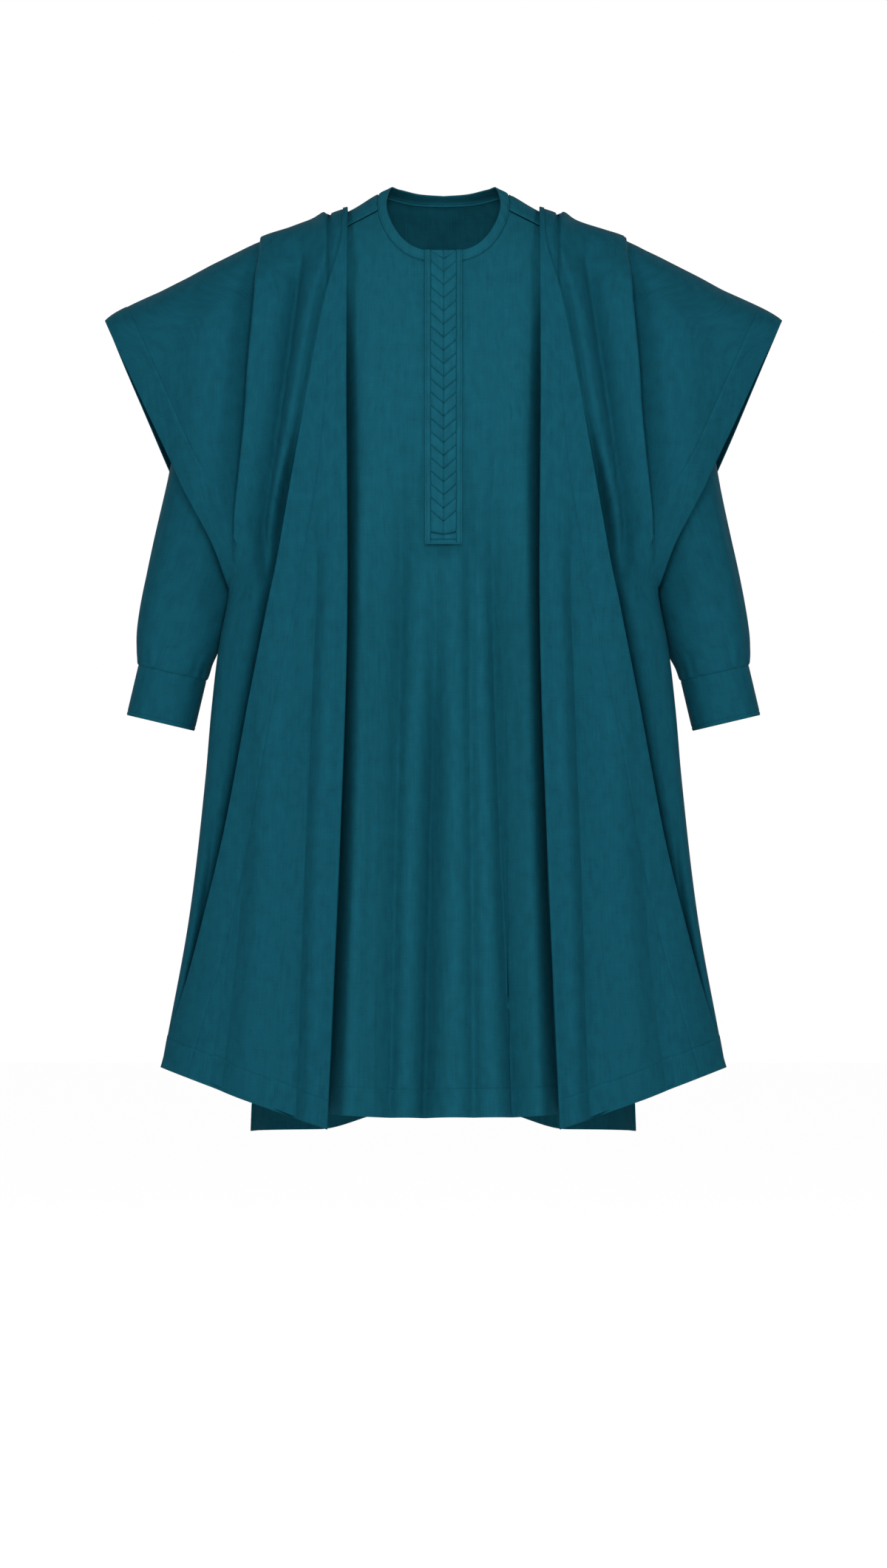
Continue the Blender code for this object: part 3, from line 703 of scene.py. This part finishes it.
# Height of the turned-back layer over the one below at the shoulder, the chest and the hem. At
# the side seam the hems of the two layers part by hemStep up and down.
turnSize = {"top": 2.0, "middle": 4.6, "low": 7.0, "topRun": 90, "lowRun": 900, "hemStep": 3,
            "foldShare": 0.6, "foldRound": 6}
# Space between over-robe and body, growing below the shoulder
restSize = {"gapTop": 4, "gapMore": 6, "gapDrop": 900, "halfWidth": 225, "fade": 25}
# Fullness that falls from the shoulder between the turned edge and the outer pleat
drapeSize = {"height": 15.0, "start": 3, "rise": 12, "top": -60, "topRun": 60, "low": -480,
             "lowRun": 130}
# How the cloth sinks beside the turned edge: a broad strip, and a crevice right at the edge
valleySize = {"strip": 10.0, "stripWide": 50, "crevice": 30.0, "creviceWide": 11.0, "start": 2,
              "inside": 26, "insideRun": 20, "top": -255, "topRun": 130}
robeFolds = [Fold(174, -85, 222, -400, 0, 9, -26, 90)]
turnedFolds = [
    Fold(135, -440, 160, -1130, 0, 15, 12, 260),
    Fold(158, -400, 185, -1130, 0, 20, -16, 260),
    Fold(200, -560, 236, -1130, 0, 24, 7, 220),
    Fold(224, -700, 278, -1130, 0, 24, -9, 200),
]
pleatSize = {"innerHigh": 4.5, "innerWide": 12, "innerLow": 4.0, "innerGroove": 2.6,
             "innerEnd": -125, "innerRun": 60, "outerHigh": 3.0, "outerWide": 14,
             "outerLow": 21.0, "valleyWide": 20, "outerEnd": -470, "outerRun": 170,
             "outerStart": 0.22, "step": 4.2, "swell": 9.0, "swellOut": 52, "swellWide": 30}
backFolds = [
    Fold(14, -300, 24, -1110, 0, 17, -9, 240),
    Fold(40, -140, 62, -1110, 0, 18, 10, 220),
    Fold(66, -130, 104, -1110, 0, 20, -14, 240),
    Fold(108, -110, 150, -1100, 0, 22, 12, 200),
    Fold(160, -150, 206, -1090, 0, 22, -14, 220),
    Fold(196, -220, 262, -1080, 0, 20, 9, 200),
    Fold(228, -150, 262, -430, 0, 20, -10, 90),
]


def shoulderPleats(x, z, ridge):    # a small rolled pleat and a broad one that steps down outwards
    size = pleatSize
    inner = x - readTable(innerPleat, "x", z)
    rolled = size["innerHigh"] * softStep((inner + 1.6) / 3.2) * np.exp(
        -(inner / size["innerWide"]) ** 2)
    groove = size["innerLow"] * np.exp(-((inner + 2.2) / size["innerGroove"]) ** 2)
    total = softStep((z - size["innerEnd"]) / size["innerRun"]) * (rolled - groove)
    outer = x - readTable(outerPleat, "x", z)
    fade = softStep((z - size["outerEnd"]) / size["outerRun"]) * (
        size["outerStart"] + (1 - size["outerStart"]) * softStep((ridge - z - 4) / 60))
    step = softStep(0.5 - outer / size["step"])
    high = size["outerHigh"] * np.exp(-(np.minimum(outer, 0) / size["outerWide"]) ** 2) * step
    low = size["outerLow"] * np.exp(-np.maximum(outer, 0) / size["valleyWide"]) * (1 - step)
    swell = size["swell"] * np.exp(-((outer - size["swellOut"]) / size["swellWide"]) ** 2)
    return total + fade * (high - low + swell * softStep((ridge - z - 10) / 60))


def robeGrid(side, xAt, count, start, hem, plan):
    ridge = ridgeHeight(robeSections, xAt, count)
    start = np.minimum(start, ridge)
    x, z, face, toHem = hangRows(xAt, ridge, start, np.full(count, float(side)), hem, side, plan)
    y = sectionDepth(robeSections, face, x, z) + side * robeEdgeShift
    return np.stack([x, y, z], axis=-1), toHem, ridge


def sectionNormals(sections, side, x, z):
    step = 0.5
    overX = (sectionDepth(sections, side, x + step, z) - sectionDepth(sections, side, x - step, z))
    overZ = (sectionDepth(sections, side, x, z + step) - sectionDepth(sections, side, x, z - step))
    normal = side * np.stack([-overX / (2 * step), np.ones_like(x), -overZ / (2 * step)], axis=-1)
    return normal / np.linalg.norm(normal, axis=-1, keepdims=True)


# Relief goes out along the normals, a valley straight back, so that its line stays where it is
def foldRobe(grid, side, relief, ridge, extra=0.0, sunk=0.0):
    rest = restSize
    x, z = grid[..., 0].copy(), grid[..., 2].copy()
    out = sectionNormals(robeSections, side, x, z)
    grid = grid + out * relief[..., None]
    grid[..., 1] -= side * sunk
    gap = rest["gapTop"] + rest["gapMore"] * softStep(-z / rest["gapDrop"])
    below = softStep((ridge - z) / rest["fade"]) * (np.abs(x) < rest["halfWidth"])
    grid[..., 1] += (clearOfBody(grid[..., 1], side, x, z, gap) - grid[..., 1]) * below
    return grid + out * np.asarray(extra)[..., None], out


def calmAtSeam(toEdge, z):          # 0 where side seams meet below the underarm, 1 elsewhere
    above = softStep((z - robeUnderarm) / robeSize["wingRun"])
    return 1 - (1 - softStep(toEdge / robeSize["edgeCalm"])) * (1 - above), above


def wideOpening(z):
    return panelEdge(frontOpening, robeSections, z)


def foldLine(z):
    return readTable(foldEdge, "x", z)


def turnedLine(z):
    return readTable(turnedEdge, "x", z)


def innerLine(z):
    return readTable(innerPleat, "x", z)


def outerLine(z):
    return np.minimum(readTable(outerPleat, "x", z), wideOpening(z) - 30)


# The layer that runs from the fold under the turned-back cloth and out to side seam and wing
underSpans = [(foldLine, innerLine, makePlan(9, crowdFar=1.5)),
              (innerLine, outerLine, makePlan(36, crowdNear=1.4, crowdFar=1.5)),
              (outerLine, wideOpening, makePlan(34, (0, 0.9, 1.8, 3.0), hemRows, crowdNear=1.3))]
turnedSpans = [(foldLine, turnedLine, makePlan(34, (0, 2, 5), frontHemRows))]
frontPlan = makePlan(robeSize["frontRows"], (0,), hemRows, crowdNear=1.3)
hemDrop = robeSize["frontSideHem"] - robeSize["foldHem"]


def layUnder(seed):
    size, drape, dip = robeSize, drapeSize, valleySize
    columns = spanColumns(underSpans)
    underX = acrossSpans(underSpans, np.full(columns, size["frontSideHem"]))
    share = (underX - underX[0]) / (underX[-1] - underX[0])
    hem = size["frontSideHem"] - hemDrop * (1 - share) + turnSize["hemStep"] * share
    grid, toHem, ridge = robeGrid(-1, lambda z: acrossSpans(underSpans, z), columns, np.zeros(1),
                                  hem, frontPlan)
    x, z = grid[..., 0], grid[..., 2]
    toEdge = wideOpening(z) - x
    calm, above = calmAtSeam(toEdge, z)
    fromTurned = x - turnedLine(z)
    hang = (drape["height"] * softStep((fromTurned - drape["start"]) / drape["rise"])
            * softStep((drape["top"] - z) / drape["topRun"])
            * softStep((z - drape["low"]) / drape["lowRun"])
            * softStep((readTable(outerPleat, "x", z) - x) / 3))
    beside = fromTurned - dip["start"]
    valley = (dip["strip"] * np.exp(-np.maximum(beside, 0) / dip["stripWide"])
              * softStep((beside + dip["inside"]) / dip["insideRun"])
              + dip["crevice"] * np.exp(-np.abs(beside) / dip["creviceWide"]))
    valley *= softStep((dip["top"] - z) / dip["topRun"]) * calm
    relief = ((foldRelief(varied(robeFolds, seed), x, z) + shoulderPleats(x, z, ridge) + hang
               + ripple(x, z, seed + 1, *size["uneven"])) * calm + hemLift(toHem, hemStitch)
              + above * hemLift(toEdge, size["wingStitch"]))
    return foldRobe(grid, -1, relief, ridge, sunk=valley)


def layTurned(seed):                # the turned-back triangle that lies on it
    size, turn = robeSize, turnSize
    shares = turnedSpans[0][2]
    wide = turnedEdge[-1].x - readTable(foldEdge, "x", turnedEdge[-1].z)
    place = (shares.near + (wide - shares.near - shares.far) * shares.share) / wide
    hem = size["frontSideHem"] - turn["hemStep"] - (hemDrop - turn["hemStep"]) * (1 - place)
    grid, toHem, ridge = robeGrid(-1, lambda z: acrossSpans(turnedSpans, z),
                                  spanColumns(turnedSpans), np.zeros(1), hem, frontPlan)
    x, z = grid[..., 0], grid[..., 2]
    width = turnedLine(z) - foldLine(z)
    squeeze = np.minimum(1, width / (1.5 * (shares.near.max() + shares.far.max())))
    relief = (foldRelief(varied(turnedFolds, seed + 2), x, z) * softStep((width - 20) / 60)
              + ripple(x, z, seed + 3, *size["uneven"]) + hemLift(toHem, hemStitch)
              + hemLift(turnedLine(z) - x, size["frontStitch"] * squeeze)
              * softStep((width - 25) / 30))
    drop = (ridge - z)[:, :1]
    lift = (turn["top"] + (turn["middle"] - turn["top"]) * softStep((drop - 4) / turn["topRun"])
            + (turn["low"] - turn["middle"]) * softStep((drop - turn["topRun"]) / turn["lowRun"]))
    rolled = 1 - (1 - turn["foldShare"]) * np.exp(-((x - foldLine(z)) / turn["foldRound"]) ** 2)
    upper, out = foldRobe(grid, -1, relief, ridge, lift * rolled)
    return upper, out, lift * turn["foldShare"], width


def makeRobeFront(label, sign, seed):
    size = robeSize
    under, underOut = layUnder(seed)
    upper, upperOut, lift, width = layTurned(seed)
    upper[:, 0] = under[:, 0] + underOut[:, 0] * lift
    inward = under[:, 0] - under[:, 1]
    inward /= np.linalg.norm(inward, axis=1, keepdims=True)
    turn = []                       # the rounded fold that joins the two layers
    for angle in np.linspace(math.pi, 0, size["turnColumns"] + 2)[1:-1]:
        turn.append(under[:, 0] + underOut[:, 0] * lift / 2 * (1 - math.cos(angle))
                    + inward * lift / 2 * math.sin(angle))
    sheet = np.concatenate([upper[:, ::-1], np.stack(turn, axis=1), under], axis=1)
    flip = np.array([sign, 1, 1])
    piece = layCloth("robe_front_%s_cloth" % label, sheet * flip, clothWall, robeCotton,
                     "robe_front_" + label)

    column = rowFromEnd(turnedSpans[0][2], size["frontStitch"])
    row = rowFromEnd(frontPlan, hemStitch)
    wingPlan = underSpans[2][2]
    wing = spanColumns(underSpans) - len(wingPlan.share) + rowFromEnd(wingPlan, size["wingStitch"])
    onWing = (under[:, wing, 2] > robeUnderarm + 22) & (under[:, wing, 2] < -185)
    broad = width[:, column] > 45           # the stitches stop where the triangle gets narrow
    seams = [(upper[broad, column], upperOut[broad, column]), (upper[row], upperOut[row]),
             (under[onWing, wing], underOut[onWing, wing])]
    stitches = sewPiece("robe_front_%s_stitches" % label, clothWall / 2,
                        [(line * flip, out * flip) for line, out in seams])


def makeRobeBack():
    size = robeBackSize
    along = np.linspace(0, 1, 26)
    turn = math.pi / 2 * along
    neckX = size["neckX"] * ((1 - size["neckSlant"]) * np.sin(turn) + size["neckSlant"] * along)
    neckZ = size["neck"] + (size["ridgeTop"] - size["neck"]) * (1 - np.cos(turn))
    neckShare = neckX / panelEdge(backOpening, robeSections, neckZ)
    edgePlan = makePlan(46, (0,), (0, 0.8, 2, 5, 12, 20, 27, 31, 33, 34, 35, 37), crowdNear=1.1)
    outward = ((edgePlan.near - (edgePlan.near + edgePlan.far) * edgePlan.share)
               / size["edgeWidth"] + edgePlan.share)
    share = np.concatenate([neckShare, neckShare[-1] + (1 - neckShare[-1]) * outward[1:]])
    start = np.concatenate([neckZ, np.zeros(len(outward) - 1)])
    hem = size["hem"] + (robeSize["frontSideHem"] - size["hem"]) * share ** 2
    plan = makePlan(size["rows"], (0, 0.8, 2), hemRows, crowdNear=1.3)
    grid, toHem, ridge = robeGrid(1, lambda z: share * panelEdge(backOpening, robeSections, z),
                                  len(share), start, hem, plan)
    grid = mirrored(grid)
    toHem = bothSides(toHem)
    ridge = np.concatenate([ridge[:0:-1], ridge])
    x, z = grid[..., 0], grid[..., 2]
    fromMiddle = np.abs(x)
    nearRidge = softStep(1 - (ridge - z) / size["ridgeRun"])
    calm = calmAtSeam(panelEdge(backOpening, robeSections, z) - fromMiddle, z)[0]
    folds = np.where(x > 0, foldRelief(backFolds, fromMiddle, z),
                     foldRelief(varied(backFolds, size["otherSide"]), fromMiddle, z))
    relief = ((folds + nearRidge * shoulderPleats(fromMiddle, z, ridge)
               + ripple(x, z, size["seed"], *size["uneven"])) * calm + hemLift(toHem, hemStitch))
    back, out = foldRobe(grid, 1, relief, ridge)
    piece = layCloth("robe_back_cloth", back, clothWall, robeCotton, "robe_back")
    row = rowFromEnd(plan, hemStitch)
    stitches = sewPiece("robe_back_stitches", clothWall / 2, [(back[row], out[row])])


makeRobeFront("left", 1, 11)
makeRobeFront("right", -1, 31)
makeRobeBack()
print("over-robe made")


# Sleeves and cuffs
sleeveSize = {"around": 97, "rows": 120, "armholeGap": 2.6, "shoulderZ": -60.0,
              "underarmZ": -265.0, "threeFolds": 1.3, "sevenFolds": 0.8, "wander": 0.35,
              "gathers": 0.7, "gatherCount": 19, "gatherReach": 45, "puff": 1.2, "puffReach": 30,
              "uneven": (0.4, 60, 120), "flat": (0.46, 0.42), "area": 0.16}
# The cuff's top edge is caught inside the sleeve, as deep as tucked says
cuffSize = {"around": 97, "height": 60.5, "stitchAt": 4.6, "tucked": 2.4, "seamDeep": 2.6,
            "edgeRound": 0.6, "flat": (0.25, 0.062)}
sleeveRings = [Ring(264, 10, -245, 66, 70, 56), Ring(277, 11, -322, 51, 58, 27),
               Ring(288, 10, -395, 52, 50, 18), Ring(305.5, 10, -476, 52, 41, 14),
               Ring(316.5, 12, -530, 50.5, 40, 12.5), Ring(323.5, 12, -557, 45, 38, 13),
               Ring(326, 12, -575, 40.6, 36.5, 13.3)]
cuffRing = Ring(326, 11.9, -575.5, 41, 36.2, 13.3)


def ringPoints(ring, turns):
    lean = math.radians(ring.lean)
    out = np.array([math.cos(lean), 0, math.sin(lean)])
    forward = np.array([0, -1, 0])
    centre = np.array([ring.x, ring.y, ring.z])
    return (centre + ring.across * np.cos(turns)[:, None] * out
            + ring.deep * np.sin(turns)[:, None] * forward)


def tubeNormals(grid):
    across = np.roll(grid, -1, axis=1) - np.roll(grid, 1, axis=1)
    across[:, 0] = across[:, -1] = grid[:, 1] - grid[:, -2]
    normal = unit(np.cross(across, np.gradient(grid, axis=0)))
    centre = grid.mean(axis=1, keepdims=True)
    if np.sum(normal * (grid - centre)) < 0:
        normal = -normal
    return normal


def makeSleeve(label, sign, seed):
    size = sleeveSize
    turns = np.linspace(0, 2 * math.pi, size["around"])
    middle = (size["shoulderZ"] + size["underarmZ"]) / 2
    z = middle + (size["shoulderZ"] - size["underarmZ"]) / 2 * np.cos(turns)
    x = panelEdge(armhole, bodySections, z) + size["armholeGap"]
    y = sectionDepth(bodySections, np.where(np.sin(turns) > 0, -1.0, 1.0), x - size["armholeGap"], z)
    rings = np.array([np.stack([x, y, z], axis=-1)]
                     + [ringPoints(ring, turns) for ring in sleeveRings])
    slope = middleSlopes(np.diff(rings, axis=0))
    grid = []
    for place in np.linspace(0, len(rings) - 1, size["rows"]):
        k = min(int(place), len(rings) - 2)
        grid.append(smoothBetween(place - k, rings[k], rings[k + 1], slope[k], slope[k + 1]))
    grid = np.array(grid)
    out = tubeNormals(grid)
    down = np.linspace(0, 1, size["rows"])[:, None]
    toCuff = grid[..., 2] - grid[-1, :, 2]
    turn = turns[None, :] + 0 * down
    meanRadius = 48
    long = softStep((down - 0.25) / 0.3) * softStep(toCuff / 30)
    wander = size["wander"] * np.sin(down * 5 + seed)
    folds = (size["threeFolds"] * np.cos(3 * turn + wander + seed)
             + size["sevenFolds"] * np.cos(7 * turn - 2 * wander + 1))
    gathers = (size["gathers"] * np.cos(size["gatherCount"] * turn + 2 * np.cos(turn))
               * softStep(1 - toCuff / size["gatherReach"]) * softStep(toCuff / 5))
    puff = size["puff"] * softStep(1 - toCuff / size["puffReach"]) * softStep(toCuff / 3)
    uneven = (ripple(turn * meanRadius, grid[..., 2], seed, *size["uneven"])
              * softStep(down / 0.2) * softStep(toCuff / 12))
    relief = long * folds + gathers + puff + uneven
    cloth = grid + out * relief[..., None]
    flip = np.array([sign, 1, 1])
    piece = layCloth("sleeve_%s_cloth" % label, cloth * flip, clothWall, sleeveCotton,
                     "sleeve_" + label, closed=True)
    return piece


def makeCuff(label, sign, sleevePiece):
    size = cuffSize
    turns = np.linspace(0, 2 * math.pi, size["around"])
    lean = math.radians(cuffRing.lean)
    step = np.array([math.sin(lean), 0, -math.cos(lean)])
    plan = makePlan(14, (0, 0.8, 1.6, 2.4, 3.2, 4.4), (0, 0.7, 1.8, 3.2, 4.0, 4.6, 5.2, 6.2))
    tucked = size["tucked"]
    at = plan.near + (size["height"] + tucked - plan.near - plan.far) * plan.share - tucked
    top = ringPoints(cuffRing, turns)
    grid = top[None] + step * at[:, None, None]
    out = tubeNormals(grid)
    toEdge = size["height"] - at
    relief = (lineGroove(toEdge, size["stitchAt"], 0.6, 0.7)
              - size["seamDeep"] * softStep(-at / tucked + 0.1)
              - size["edgeRound"] * softStep(1 - toEdge / 1.6))
    cloth = grid + out * relief[:, None, None]
    flip = np.array([sign, 1, 1])
    piece = layCloth("cuff_%s_cloth" % label, cloth * flip, doubleWall, sleeveCotton,
                     "cuff_" + label, closed=True)
    row = int(np.argmin(np.abs(toEdge - size["stitchAt"])))
    stitches = sewPiece("cuff_%s_stitches" % label, doubleWall / 2,
                        [(cloth[row] * flip, out[row] * flip)])


for label, sign, seed in (("left", 1, 2), ("right", -1, 5)):
    makeCuff(label, sign, makeSleeve(label, sign, seed))
print("sleeves and cuffs made")


# Floor, light and camera
studio = {"floor": -1.462, "floorHalf": 30.0, "camera": (0.0, -24.0, -0.708), "lens": 458.6,
          "sensor": 36.0, "sees": 200,
          "ambient": 0.18, "glow": 0.81, "key": 76.5, "keyAt": (3.3, -3.2, 2.7), "keySize": 1.4,
          "fill": 52.0, "fillAt": (0, -3.3, 0.15), "fillSize": 0.8,
          "rear": 42.0, "rearAt": (2.2, 3.6, 1.2), "rearSize": 1.4,
          "aim": (0.0, 0.0, -0.6)}


def addLight(kind, label, side):            # round soft lights: size in metres, power in watts
    name = kind + "_" + label
    light = bpy.data.lights.new(name, "AREA")
    light.shape = "DISK"
    light.size = studio[kind + "Size"]
    light.energy = studio[kind]
    lamp = addObject(name, light)
    x, y, z = studio[kind + "At"]
    lamp.location = (side * x, y, z)
    toRobe = Vector(studio["aim"]) - lamp.location
    lamp.rotation_euler = toRobe.to_track_quat("-Z", "Y").to_euler()


def makeStudio():
    world = bpy.data.worlds.new("studio")
    bpy.context.scene.world = world
    world.use_nodes = True
    tree = world.node_tree
    tree.nodes.clear()
    seen = addNode(tree, "ShaderNodeBackground", {"Color": (1, 1, 1, 1), "Strength": 1.0})
    soft = addNode(tree, "ShaderNodeBackground", {"Color": (1, 1, 1, 1),
                                                  "Strength": studio["ambient"]})
    path = addNode(tree, "ShaderNodeLightPath")
    mix = addNode(tree, "ShaderNodeMixShader", {}, {"Fac": path.outputs["Is Camera Ray"],
                                                    1: soft.outputs[0], 2: seen.outputs[0]})
    addNode(tree, "ShaderNodeOutputWorld", {}, {"Surface": mix.outputs[0]})
    for side, label in ((1, "left"), (-1, "right")):
        for kind in ("key", "rear"):
            addLight(kind, label, side)
    addLight("fill", "middle", 1)

    work = bmesh.new()
    bmesh.ops.create_grid(work, x_segments=8, y_segments=8, size=studio["floorHalf"])
    bmesh.ops.translate(work, verts=work.verts, vec=(0, 0, studio["floor"]))
    mesh = bpy.data.meshes.new("floor")
    work.to_mesh(mesh)
    work.free()
    floor = addObject("floor", mesh)
    # Matt white paper, lifted a little so that it stays even as far as it shows
    paper, tree, shader = newMaterial("matt_white_paper_floor")
    shader.inputs["Base Color"].default_value = toLinear("#fbfbfb")
    shader.inputs["Roughness"].default_value = 1.0
    shader.inputs["Specular IOR Level"].default_value = 0.0
    shader.inputs["Emission Color"].default_value = (1, 1, 1, 1)
    path = addNode(tree, "ShaderNodeLightPath")
    glow = addNode(tree, "ShaderNodeMath", {"operation": "MULTIPLY", 1: studio["glow"]},
                   {0: path.outputs["Is Camera Ray"]})
    tree.links.new(glow.outputs["Value"], shader.inputs["Emission Strength"])
    mesh.materials.append(paper)

    camera = bpy.data.cameras.new("camera")
    camera.sensor_width = studio["sensor"]
    camera.lens = studio["lens"]
    camera.clip_end = studio["sees"]
    viewer = addObject("camera", camera)
    viewer.location = studio["camera"]
    viewer.rotation_euler = (math.pi / 2, 0, 0)
    bpy.context.scene.camera = viewer
    bpy.context.scene.view_settings.view_transform = "Standard"


makeStudio()
print("studio made")
